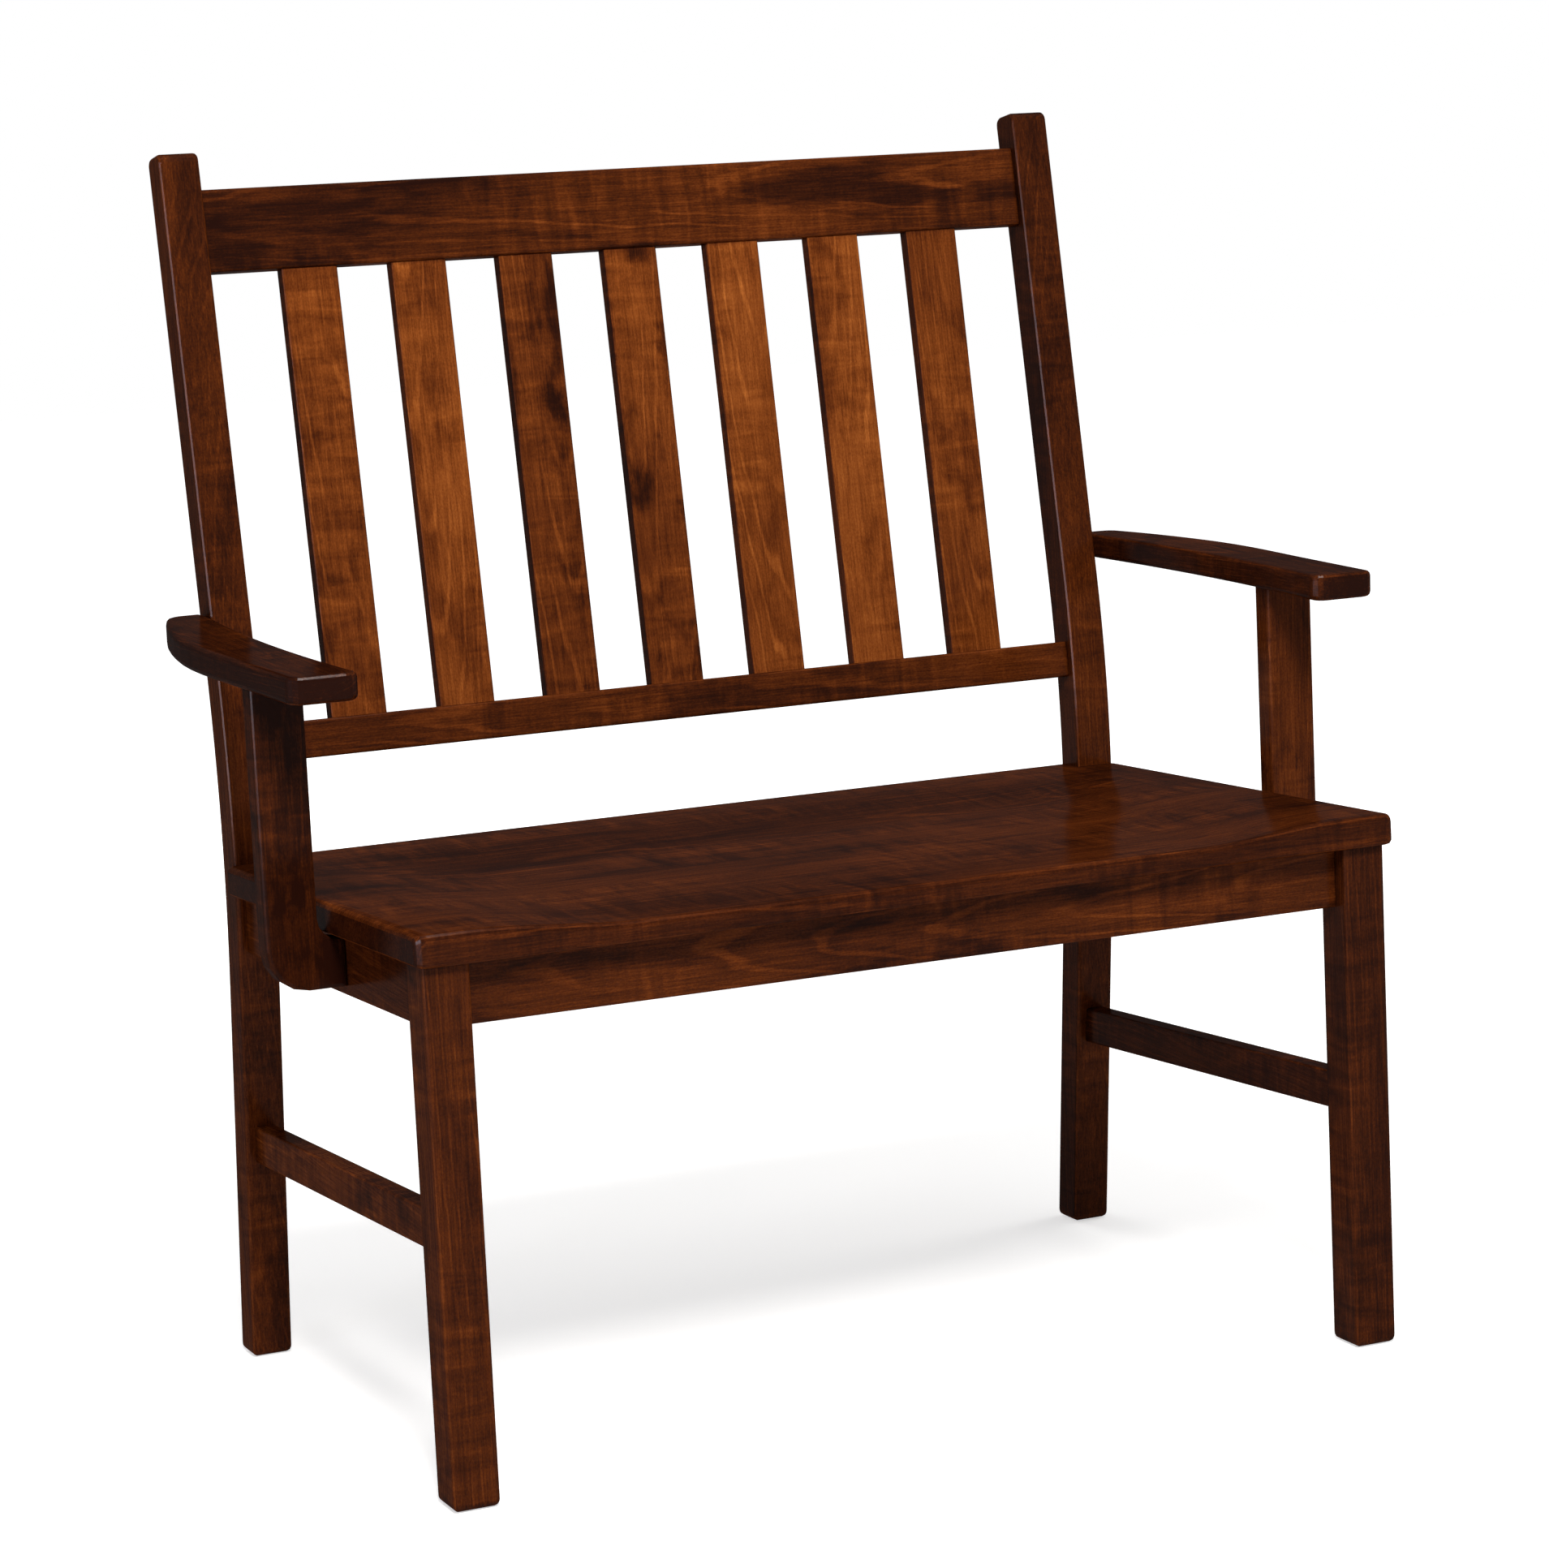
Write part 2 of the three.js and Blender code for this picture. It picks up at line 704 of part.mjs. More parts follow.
const armPostY = legFront + armPostSetback + armPostThickness / 2;
for (const [end, side] of ends) {
  const armFace = postFrontAt(armHeight);
  const armFrame = addFrame(bench, [side * (frameSide + fit), armFace, armHeight], armSlope);
  const arm = addPiece(
    armFrame,
    `arm_${end}`,
    board(armOutline(side), armThickness, armEdge),
    wood(woodTones.arm),
    [0, 0, -armThickness / 2],
  );

  const armPost = addPiece(
    bench,
    `arm_post_${end}`,
    board(armPostOutline(side), armPostThickness, armPostEdge).applyMatrix4(drawnFromTheFront),
    wood(woodTones.post),
    [0, armPostY, 0],
  );
  const armSpace = block(
    [-frameWidth, -frameDepth, -armThickness - fit],
    [frameWidth, frameDepth, armHeight],
  );
  cut(armPost, armSpace, armFrame);
  const tenonX = side * (armPostGap + armPostWidth / 2);
  const tenonY = (armPostY - armFace) / Math.cos(armSlope);
  const low = [
    tenonX - armPostTenonWidth / 2,
    tenonY - armPostThickness / 2 + tenonShoulder,
    -armThickness - overrun,
  ];
  const high = [
    tenonX + armPostTenonWidth / 2,
    tenonY + armPostThickness / 2 - tenonShoulder,
    -armThickness + armPostTenonLength,
  ];
  join(armPost, block(low, high), armFrame);
  cut(arm, block(low, high, fit), armFrame);

  // Dowels run along X through the meeting faces of arm and post.
  for (const [row, offset] of [["front", -dowelPitch / 2], ["rear", dowelPitch / 2]]) {
    const y = armTail / 2 + offset;
    const length = dowelInPost + dowelInArm;
    const place = [side * (length / 2 - dowelInPost), y, -armThickness / 2];
    const dowel = addPiece(
      armFrame,
      `arm_dowel_${row}_${end}`,
      rod(dowelRadius, length).rotateZ(Math.PI / 2),
      wood(woodTones.slat),
      place,
    );
    const bore = rod(dowelRadius + fit, length + 2 * fit).rotateZ(Math.PI / 2);
    cut(arm, bore, dowel);
    cut(posts[end], bore, dowel);
  }

  // Two screws hold the foot of the arm post from inside the side apron.
  const footMiddle = armFootBottom + armFootHeight / 2;
  for (const [row, offset] of [["upper", footScrewPitch / 2], ["lower", -footScrewPitch / 2]]) {
    const headX = side * (frameSide - sideApronInset - apronThickness + fit);
    const screw = addPiece(
      bench,
      `foot_screw_${row}_${end}`,
      screwShape(footScrewLength).rotateY((side * Math.PI) / 2),
      steel(),
      [headX, armPostY, footMiddle + offset],
    );
    const hole = screwShape(footScrewLength, fit).rotateY((side * Math.PI) / 2);
    cut(sideAprons[end], hole, screw);
    cut(armPost, hole, screw);
  }
}

// Corner blocks brace the aprons and carry the screws that hold the seat.
function addCornerBlock(row, end, side, cornerY, inwards, hosts) {
  const cornerX = side * (frameSide - sideApronInset);
  const reachX = frameSide - sideApronInset - (frameSide - legWidth - blockReach);
  const outline = rounded([
    [cornerX, cornerY, 0],
    [cornerX, cornerY + inwards * (blockReach + legDepth), blockEdge],
    [cornerX - side * apronThickness, cornerY + inwards * (blockReach + legDepth), blockEdge],
    [cornerX - side * reachX, cornerY + inwards * apronThickness, blockEdge],
    [cornerX - side * reachX, cornerY, blockEdge],
  ]);
  const blockPiece = addPiece(
    seatFrame,
    `corner_block_${row}_${end}`,
    board(outline, blockHeight),
    wood(woodTones.slat),
    [0, 0, underSeat - blockHeight / 2],
  );
  for (const [host, envelope] of hosts) {
    cut(blockPiece, envelope, host);
  }
  return blockPiece;
}

const crossApronEnvelope = block(
  [-frameWidth, -apronThickness / 2, -apronHeight],
  [frameWidth, apronThickness / 2, seatHeight],
  fit,
);
const sideApronEnvelope = block(
  [-apronThickness / 2, -2 * frameDepth, -apronHeight],
  [apronThickness / 2, 2 * frameDepth, apronHeight],
  fit,
);
const blockRows = [
  ["front", frontApronY - apronThickness / 2, 1, frontApron, legs, legEnvelope],
  ["rear", rearApronY + apronThickness / 2, -1, rearApron, posts, postEnvelope],
];
for (const [row, cornerY, inwards, apron, uprights, uprightEnvelope] of blockRows) {
  for (const [end, side] of ends) {
    const cornerBlock = addCornerBlock(row, end, side, cornerY, inwards, [
      [uprights[end], uprightEnvelope],
      [apron, crossApronEnvelope],
      [sideAprons[end], sideApronEnvelope],
    ]);
    const largest = solidOf(cornerBlock.geometry).decompose();
    largest.sort((one, other) => other.volume() - one.volume());
    cornerBlock.geometry = geometryOf(largest[0]);

    const screwX = side * (frameSide - legWidth - blockReach / 4);
    const screwY = cornerY + inwards * (apronThickness + legDepth / 2 + blockReach / 8);
    const screw = addPiece(
      seatFrame,
      `seat_screw_${row}_${end}`,
      screwShape(seatScrewLength),
      steel(),
      [screwX, screwY, underSeat - blockHeight + seatScrewRecess],
    );
    cut(cornerBlock, screwShape(seatScrewLength, fit), screw);
    const recess = rod(screwHeadRadius + fit, seatScrewRecess + overrun)
      .rotateX(Math.PI / 2)
      .translate(0, 0, -(seatScrewRecess + overrun) / 2);
    cut(cornerBlock, recess, screw);
    cut(seat, screwShape(seatScrewLength, fit), screw);
  }
}

bench.traverse((node) => {
  if (node.isMesh) {
    node.geometry = toCreasedNormals(node.geometry, creaseAngle);
  }
});

// The bench stands on its own origin: the middle of its footprint, on the floor.
bench.updateMatrixWorld(true);
const bounds = new THREE.Box3().setFromObject(bench);
const middle = bounds.getCenter(new THREE.Vector3());
bench.position.set(-middle.x, -middle.y, -bounds.min.z);

const deaconsBench = new THREE.Group();
deaconsBench.add(bench);

export default deaconsBench;
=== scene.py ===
import math
import random

import bpy
from mathutils import Matrix, Vector


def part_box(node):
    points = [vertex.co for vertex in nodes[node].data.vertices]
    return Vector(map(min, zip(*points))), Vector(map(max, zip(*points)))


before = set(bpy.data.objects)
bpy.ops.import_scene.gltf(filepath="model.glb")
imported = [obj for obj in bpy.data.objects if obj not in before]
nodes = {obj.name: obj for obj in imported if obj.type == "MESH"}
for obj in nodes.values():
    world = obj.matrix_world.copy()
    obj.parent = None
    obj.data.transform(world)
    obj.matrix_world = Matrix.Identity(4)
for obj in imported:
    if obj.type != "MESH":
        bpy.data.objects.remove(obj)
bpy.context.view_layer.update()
print("stage 1: the bench is loaded,", len(nodes), "pieces")

# helpers for node trees


def addNode(tree, kind, place=(0, 0), **settings):
    node = tree.nodes.new(kind)
    node.location = place
    for key, value in settings.items():
        setattr(node, key, value)
    return node


def feed(tree, socket, value):
    # a link if the value is a socket, else a plain number or colour
    if isinstance(value, bpy.types.NodeSocket):
        tree.links.new(value, socket)
    else:
        socket.default_value = value


def maths(tree, operation, first, second=0.0, third=0.0, clamp=False):
    node = addNode(tree, "ShaderNodeMath", operation=operation, use_clamp=clamp)
    for socket, value in zip(node.inputs, (first, second, third)):
        feed(tree, socket, value)
    return node.outputs[0]


def vectorMaths(tree, operation, first, second=(0, 0, 0)):
    node = addNode(tree, "ShaderNodeVectorMath", operation=operation)
    feed(tree, node.inputs[0], first)
    feed(tree, node.inputs[1], second)
    return node.outputs[0]


def between(tree, value, low, high, toLow=0.0, toHigh=1.0):
    # a soft step from toLow to toHigh while the value goes from low to high
    node = addNode(tree, "ShaderNodeMapRange", clamp=True, interpolation_type="SMOOTHSTEP")
    for socket, entry in zip(node.inputs, (value, low, high, toLow, toHigh)):
        feed(tree, socket, entry)
    return node.outputs[0]


def cloud(tree, place, stretch, detail=2.0, roughness=0.5, distortion=0.0):
    # noise with its own size along the three directions
    node = addNode(tree, "ShaderNodeTexNoise", noise_dimensions="3D")
    feed(tree, node.inputs["Vector"], vectorMaths(tree, "MULTIPLY", place, stretch))
    node.inputs["Scale"].default_value = 1.0
    node.inputs["Detail"].default_value = detail
    node.inputs["Roughness"].default_value = roughness
    node.inputs["Distortion"].default_value = distortion
    return node.outputs["Fac"]


def separate(tree, vector):
    node = addNode(tree, "ShaderNodeSeparateXYZ")
    feed(tree, node.inputs[0], vector)
    return node.outputs


def addBump(tree, height, strength, distance):
    bump = addNode(tree, "ShaderNodeBump", (-300, -200))
    bump.inputs["Strength"].default_value = strength
    bump.inputs["Distance"].default_value = distance
    feed(tree, bump.inputs["Height"], height)
    return bump


# stained brown maple

mapleLook = {
    "stain": [  # how dark or light the stain took, from 0 to 1
        (0.00, (0.010, 0.0026, 0.0016)),
        (0.20, (0.030, 0.0067, 0.0019)),
        (0.40, (0.078, 0.0168, 0.0032)),
        (0.60, (0.165, 0.0395, 0.0070)),
        (0.80, (0.300, 0.0850, 0.0150)),
        (1.00, (0.480, 0.1600, 0.0330)),
    ],
    "ringSpacing": 0.0062,  # metres between rings, and how far they wander and ripple
    "ringWander": 0.016,
    "ringRipple": 0.0022,
    "bumpStrength": 0.28,
    "bumpDepth": 0.0005,
    "softArris": 0.004,  # metres over which the shading rounds an arris
    "shift": (2, 9),  # how far a board's markings are taken from the next one's
}
mapleGrain = {  # marks per metre along the board and across it, detail, roughness, distortion
    "wander": (2.6, 17.0, 2.5, 0.55, 0.0),
    "ripple": (24.0, 60.0, 2.0, 0.5, 0.0),
    "ringsPatchy": (5.0, 20.0, 1.0, 0.5, 0.0),
    "fibre": (26.0, 640.0, 3.0, 0.6, 0.0),
    "streak": (5.0, 120.0, 3.0, 0.6, 0.0),
    "line": (9.0, 300.0, 2.0, 0.6, 0.0),
    "fleck": (150.0, 1700.0, 1.0, 0.5, 0.0),
    "mottle": (420.0, 700.0, 2.0, 0.7, 0.0),
    "blotch": (13.0, 26.0, 4.0, 0.58, 0.35),
    "drift": (3.2, 9.0, 2.0, 0.5, 0.0),
    "bars": (70.0, 13.0, 2.5, 0.6, 0.7),
    "barsPatchy": (6.0, 12.0, 1.0, 0.5, 0.0),
    "wearAndHighlightPatchy": (18.0, 40.0, 3.0, 0.5, 0.0),
    "hands": (9.0, 14.0, 3.0, 0.5, 0.0),
    "swell": (30.0, 90.0, 2.0, 0.5, 0.0),
}
mapleSteps = {  # from and to, and for some how little and how much shows
    "ringsPatchy": (0.40, 0.62, 0.15, 1.0),
    "lateWood": (0.72, 1.0),
    "earlyWood": (-1.0, 0.4),
    "fleck": (0.60, 0.72),
    "blotch": (0.50, 0.70),
    "barsPatchy": (0.36, 0.58),
    "wearAndHighlightPatchy": (0.35, 0.65, 0.35, 1.0),
    "arris": (0.24, 0.46),
    "cutEnd": (0.86, 0.98),
    # the narrow sides, where the painted side shade goes
    "sideShadeMask": (0.50, 0.80),
}
mapleShare = {  # how much lighter, or darker below 0, each thing makes the stain
    "drift": 0.45,
    "streak": 0.20,
    "line": 0.16,
    "fibre": 0.42,
    "mottle": 0.32,
    "lateWood": 0.17,
    "earlyWood": -0.05,
    "bars": 0.50,
    "blotch": -0.30,
    "fleck": -0.07,
    # the arrises: edge wear and painted highlight
    "wornAndLitArris": 0.16,
    "cutEnd": -0.14,
}
mapleSheen = {  # roughness of the lacquer, and how much each thing changes it
    "roughness": 0.36,
    "fibre": 0.16,
    "hands": 0.20,
    "cutEnd": 0.12,
    "arris": -0.06,
}
mapleRelief = {"fibre": 0.35, "swell": 0.6, "fleck": -0.25, "lateWood": 0.2}


def openMapleGroup():
    group = bpy.data.node_groups.new("stainedMaple", "ShaderNodeTree")
    for name in ("Turn", "Start", "Heart", "Shift"):
        group.interface.new_socket(name, in_out="INPUT", socket_type="NodeSocketVector")
    for name in ("Tone", "Blotch", "Smear", "Rings", "WearAndHighlight", "Edges"):
        group.interface.new_socket(name, in_out="INPUT", socket_type="NodeSocketFloat")
    for name, kind in (("Colour", "Color"), ("Roughness", "Float"), ("Normal", "Vector")):
        group.interface.new_socket(name, in_out="OUTPUT", socket_type="NodeSocket" + kind)
    return group


def growRings(group, place, heartPlace, wander, ripple):
    # rings round a heart that lies beside the board and leans a little to it
    here = separate(group, place)
    heart = separate(group, heartPlace)
    lean = maths(group, "MULTIPLY", here[0], heart[0])
    across = maths(group, "SUBTRACT", here[1], heart[1])
    through = maths(group, "ADD", maths(group, "SUBTRACT", here[2], heart[2]), lean)
    acrossSquared = maths(group, "MULTIPLY", across, across)
    throughSquared = maths(group, "MULTIPLY", through, through)
    reach = maths(group, "SQRT", maths(group, "ADD", acrossSquared, throughSquared))
    reach = maths(group, "MULTIPLY_ADD", wander, mapleLook["ringWander"], reach)
    reach = maths(group, "MULTIPLY_ADD", ripple, mapleLook["ringRipple"], reach)
    turns = maths(group, "MULTIPLY", reach, 2 * math.pi / mapleLook["ringSpacing"])
    return maths(group, "SINE", turns)


def findSides(group, turn):
    # which way this bit of the surface looks: arris, cut end or narrow side
    shape = addNode(group, "ShaderNodeNewGeometry")
    facing = addNode(group, "ShaderNodeMapping", vector_type="VECTOR")
    feed(group, facing.inputs["Vector"], shape.outputs["Normal"])
    feed(group, facing.inputs["Rotation"], turn)
    along, across, through = separate(group, facing.outputs[0])
    flat = maths(group, "ABSOLUTE", through)
    flatSquared = maths(group, "MULTIPLY", flat, flat)
    slanted = maths(group, "SQRT", maths(group, "SUBTRACT", 1.0, flatSquared, clamp=True))
    arris = between(group, maths(group, "MULTIPLY", flat, slanted), *mapleSteps["arris"])
    cutEnd = between(group, maths(group, "ABSOLUTE", along), *mapleSteps["cutEnd"])
    sideShadeMask = between(group, maths(group, "ABSOLUTE", across), *mapleSteps["sideShadeMask"])
    return arris, cutEnd, sideShadeMask


def buildMapleGroup():
    group = openMapleGroup()
    given = addNode(group, "NodeGroupInput", (-1800, 0)).outputs
    result = addNode(group, "NodeGroupOutput", (1400, 0)).inputs

    # place in the board: x along the grain, y across the face, z through the thickness
    coordinates = addNode(group, "ShaderNodeTexCoord", (-1800, 400))
    board = addNode(group, "ShaderNodeMapping", (-1500, 400), vector_type="POINT")
    feed(group, board.inputs["Vector"], coordinates.outputs["Object"])
    feed(group, board.inputs["Rotation"], given["Turn"])
    feed(group, board.inputs["Location"], given["Start"])
    place = board.outputs[0]
    seeded = vectorMaths(group, "ADD", place, given["Shift"])

    def grain(name):
        along, across, detail, roughness, distortion = mapleGrain[name]
        return cloud(group, seeded, (along, across, across), detail, roughness, distortion)

    def step(name, pattern):
        return between(group, pattern, *mapleSteps[name])

    def times(first, second):
        return maths(group, "MULTIPLY", first, second)

    def swing(pattern):
        # the pattern's middle becomes 0, so that it lightens as much as it darkens
        return maths(group, "SUBTRACT", pattern, 0.5)

    def more(pattern, share, total, clamp=False):
        return maths(group, "MULTIPLY_ADD", pattern, share, total, clamp)

    wave = growRings(group, place, given["Heart"], grain("wander"), grain("ripple"))
    ringsShow = times(step("ringsPatchy", grain("ringsPatchy")), given["Rings"])
    lateWood = times(step("lateWood", wave), ringsShow)
    earlyWood = times(step("earlyWood", wave), ringsShow)
    fibre = grain("fibre")
    fleck = step("fleck", grain("fleck"))

    # patches where the stain took dark, and bars of figure across the grain
    along, across, detail, roughness, distortion = mapleGrain["blotch"]
    patchSize = addNode(group, "ShaderNodeCombineXYZ")
    feed(group, patchSize.inputs[0], maths(group, "DIVIDE", along, given["Smear"]))
    patchSize.inputs[1].default_value = across
    patchSize.inputs[2].default_value = across
    patch = cloud(group, seeded, patchSize.outputs[0], detail, roughness, distortion)
    blotch = times(step("blotch", patch), given["Blotch"])
    bars = times(swing(grain("bars")), step("barsPatchy", grain("barsPatchy")))

    # arrises are drawn lighter, from stain rubbed thinner and as painted highlight; cut ends
    # drink more stain; narrow sides get painted shade, and painted light where the amount is
    # below 0
    arris, cutEnd, sideShadeMask = findSides(group, given["Turn"])
    # edge wear and painted highlight: the arrises drawn lighter, in patches
    wornAndLitArris = times(arris, step("wearAndHighlightPatchy", grain("wearAndHighlightPatchy")))
    wornAndLitArris = times(wornAndLitArris, given["WearAndHighlight"])

    # add it all up to how light the stain is
    light = more(swing(grain("drift")), mapleShare["drift"], given["Tone"])
    light = more(swing(grain("streak")), mapleShare["streak"], light)
    light = more(swing(grain("line")), mapleShare["line"], light)
    light = more(swing(fibre), mapleShare["fibre"], light)
    light = more(swing(grain("mottle")), mapleShare["mottle"], light)
    light = more(lateWood, mapleShare["lateWood"], light)
    light = more(earlyWood, mapleShare["earlyWood"], light)
    light = more(bars, mapleShare["bars"], light)
    light = more(blotch, mapleShare["blotch"], light)
    # painted shade: the narrow sides drawn darker, and lighter as painted light where the amount
    # is below 0
    light = maths(group, "SUBTRACT", light, times(sideShadeMask, given["Edges"]))
    light = more(fleck, mapleShare["fleck"], light)
    light = more(wornAndLitArris, mapleShare["wornAndLitArris"], light)
    light = more(cutEnd, mapleShare["cutEnd"], light, clamp=True)
    ramp = addNode(group, "ShaderNodeValToRGB")
    ramp.color_ramp.interpolation = "B_SPLINE"
    stops = ramp.color_ramp.elements
    for index, (at, colour) in enumerate(mapleLook["stain"]):
        # a new ramp has two stops already
        stop = stops[index] if index < 2 else stops.new(at)
        stop.position = at
        stop.color = (*colour, 1.0)
    feed(group, ramp.inputs[0], light)
    feed(group, result["Colour"], ramp.outputs[0])

    # satin lacquer: duller along the fibres and where hands and cloths rub
    dull = more(swing(fibre), mapleSheen["fibre"], mapleSheen["roughness"])
    dull = more(swing(grain("hands")), mapleSheen["hands"], dull)
    dull = more(cutEnd, mapleSheen["cutEnd"], dull)
    dull = more(arris, mapleSheen["arris"], dull, clamp=True)
    feed(group, result["Roughness"], dull)

    height = more(fibre, mapleRelief["fibre"], times(grain("swell"), mapleRelief["swell"]))
    height = more(fleck, mapleRelief["fleck"], height)
    height = more(lateWood, mapleRelief["lateWood"], height)
    bump = addBump(group, height, mapleLook["bumpStrength"], mapleLook["bumpDepth"])
    soften = addNode(group, "ShaderNodeBevel", samples=6)
    soften.inputs["Radius"].default_value = mapleLook["softArris"]
    feed(group, bump.inputs["Normal"], soften.outputs[0])
    feed(group, result["Normal"], bump.outputs[0])
    return group


mapleGroup = buildMapleGroup()
print("stage 2: the stained maple is mixed")

# one board's wood at a time

lacquer = {
    "coat": 0.05,  # seen straight on
    "coatGlancing": 0.02,  # seen along the surface
    "coatRoughness": 0.18,
    "gloss": 0.0,  # of the stained wood below the coat
    "refraction": 1.45,
    "glancing": (0.3, 0.85),  # from straight on, 0, to along the surface, 1
}


def dressInMaple(name, grain, face, tone, blotch=0.6, smear=1.0, rings=0.7, wearAndHighlight=0.6,
                 sideShade=0.0, heart=(0.05, 0.01, 0.05), seed=0):
    # grain: way the fibres run; face: way the board's broad face looks
    # blotch, rings, wearAndHighlight: how strong they are, the last being edge wear with painted
    # highlight on the arrises; smear: how long the blotches are drawn out
    # sideShade: painted shade, how much darker the narrow sides are drawn, painted light below 0;
    # heart: where the tree's middle was
    along = Vector(grain).normalized()
    through = (Vector(face) - Vector(face).dot(along) * along).normalized()
    across = through.cross(along)
    turn = Matrix((along, across, through))
    low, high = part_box(name)
    middle = (low + high) / 2
    luck = random.Random(seed)
    material = bpy.data.materials.new(name + "_maple")
    material.use_nodes = True
    tree = material.node_tree
    tree.nodes.clear()
    wood = addNode(tree, "ShaderNodeGroup", (-400, 0), node_tree=mapleGroup)
    for socket, value in (
        ("Turn", turn.to_euler()),
        ("Start", -(turn @ middle)),
        ("Heart", heart),
        ("Shift", [luck.uniform(*mapleLook["shift"]) for _ in range(3)]),
        ("Tone", tone),
        ("Blotch", blotch),
        ("Smear", smear),
        ("Rings", rings),
        ("WearAndHighlight", wearAndHighlight),
        ("Edges", sideShade),
    ):
        wood.inputs[socket].default_value = value
    surface = addNode(tree, "ShaderNodeBsdfPrincipled", (0, 0))
    surface.inputs["IOR"].default_value = lacquer["refraction"]
    surface.inputs["Specular IOR Level"].default_value = lacquer["gloss"]
    surface.inputs["Coat Roughness"].default_value = lacquer["coatRoughness"]
    glancing = addNode(tree, "ShaderNodeLayerWeight", (-700, -300))
    glancing.inputs["Blend"].default_value = 0.5
    coat = between(tree, glancing.outputs["Facing"], *lacquer["glancing"],
                   lacquer["coat"], lacquer["coatGlancing"])
    feed(tree, surface.inputs["Coat Weight"], coat)
    feed(tree, surface.inputs["Base Color"], wood.outputs["Colour"])
    feed(tree, surface.inputs["Roughness"], wood.outputs["Roughness"])
    feed(tree, surface.inputs["Normal"], wood.outputs["Normal"])
    output = addNode(tree, "ShaderNodeOutputMaterial", (300, 0))
    feed(tree, output.inputs["Surface"], surface.outputs[0])
    mesh = nodes[name].data
    mesh.materials.clear()
    mesh.materials.append(material)


def dressAlike(start, look, grain, face):
    # boards of one kind: "wood" holds for all of them, "boards" for each
    for end, own in look["boards"].items():
        dressInMaple(start + end, grain, face, **look["wood"], **own)


def slope(degrees):
    # the top of a flat board that falls to the rear, and its way from front to rear
    angle = math.radians(degrees)
    return (0, math.sin(angle), math.cos(angle)), (0, math.cos(angle), -math.sin(angle))


# the bench, piece by piece

sideways, upwards, forwards = (1, 0, 0), (0, 0, 1), (0, -1, 0)

rearPosts = {
    "grain": (0, 0.02, 1),
    "wood": {"blotch": 0.4, "smear": 2.0, "rings": 0.5, "wearAndHighlight": 0.9, "heart": (0.02, 0.09, 0.05)},
    "boards": {
        "left": {"tone": 0.31, "seed": 3},
        # painted light: this post's front, a narrow side, is drawn lighter than its broad sides
        "right": {"tone": 0.17, "sideShade": -0.12, "seed": 8},  # lighter in front than on its sides
    },
}
dressAlike("rear_post_", rearPosts, rearPosts["grain"], sideways)

frontLegs = {
    "wood": {"blotch": 0.45, "smear": 1.8, "rings": 0.6, "wearAndHighlight": 0.7, "heart": (0.03, 0.07, 0.06)},
    "boards": {
        "left": {"tone": 0.35, "seed": 11},
        "right": {"tone": 0.21, "seed": 14},
    },
}
dressAlike("front_leg_", frontLegs, upwards, sideways)

backRake = math.radians(9.4)
upright = (0, math.sin(backRake), math.cos(backRake))
leaningFront = (0, -math.cos(backRake), math.sin(backRake))
backRails = {
    "wood": {"smear": 2.4, "rings": 0.9, "wearAndHighlight": 0.5, "heart": (0.035, 0.012, 0.075)},
    "boards": {
        "crest_rail": {"tone": 0.30, "blotch": 0.85, "seed": 21},
        "lower_back_rail": {"tone": 0.345, "blotch": 0.6, "seed": 22},
    },
}
dressAlike("", backRails, sideways, leaningFront)

backSlats = {
    "tones": (0.485, 0.56, 0.45, 0.48, 0.56, 0.62, 0.51),
    "blotches": (0.55, 0.4, 0.9, 1.1, 0.45, 0.5, 0.6),
    # sideShade: painted shade on the slats' narrow sides
    "wood": {"sideShade": 0.30, "rings": 0.8, "wearAndHighlight": 0.5},
    "hearts": ((0.05, -0.02, 0.06), (0.05, 0.02, 0.06)),  # every other slat
    "firstSeed": 31,
}
for index, (tone, blotch) in enumerate(zip(backSlats["tones"], backSlats["blotches"])):
    dressInMaple("back_slat_%d" % (index + 1), upright, leaningFront, tone, blotch,
                 heart=backSlats["hearts"][index % 2], seed=backSlats["firstSeed"] + index,
                 **backSlats["wood"])

seatLook = {
    "fall": 1.6,  # degrees
    # sideShade: a little painted shade on the seat's narrow sides
    "wood": {"tone": 0.26, "blotch": 0.4, "smear": 2.4, "rings": 0.8, "wearAndHighlight": 0.8, "sideShade": 0.04,
             "heart": (0.02, 0.1, 0.10), "seed": 47},
}
seatTop = slope(seatLook["fall"])[0]
dressInMaple("seat", sideways, seatTop, **seatLook["wood"])

aprons = {
    "wood": {"smear": 1.8, "rings": 0.9, "wearAndHighlight": 0.5, "heart": (0.05, 0.005, 0.06)},
    "boards": {
        "front_apron": {"tone": 0.29, "blotch": 0.8, "seed": 51},
        "rear_apron": {"tone": 0.29, "blotch": 0.7, "seed": 52},
    },
}
dressAlike("", aprons, sideways, forwards)

sideRails = {
    "grain": (0, 1, 0.05),
    "wood": {"blotch": 0.4, "rings": 0.6, "wearAndHighlight": 0.6, "heart": (0.04, 0.01, 0.06)},
    "boards": {
        "apron_left": {"tone": 0.31, "seed": 61},
        "apron_right": {"tone": 0.29, "seed": 62},
        "stretcher_left": {"tone": 0.36, "seed": 65},
        "stretcher_right": {"tone": 0.19, "seed": 66},
    },
}
dressAlike("side_", sideRails, sideRails["grain"], sideways)

arms = {
    "rise": 1.5,  # degrees, to the rear
    "wood": {"blotch": 0.5, "rings": 0.7, "wearAndHighlight": 0.7, "heart": (0.04, 0.01, 0.07)},
    "boards": {
        # sideShade: painted shade on the left arm's narrow sides
        "left": {"tone": 0.15, "sideShade": 0.12, "seed": 71},
        "right": {"tone": 0.19, "seed": 75},
    },
}
armTop, armRearwards = slope(-arms["rise"])
dressAlike("arm_", arms, armRearwards, armTop)

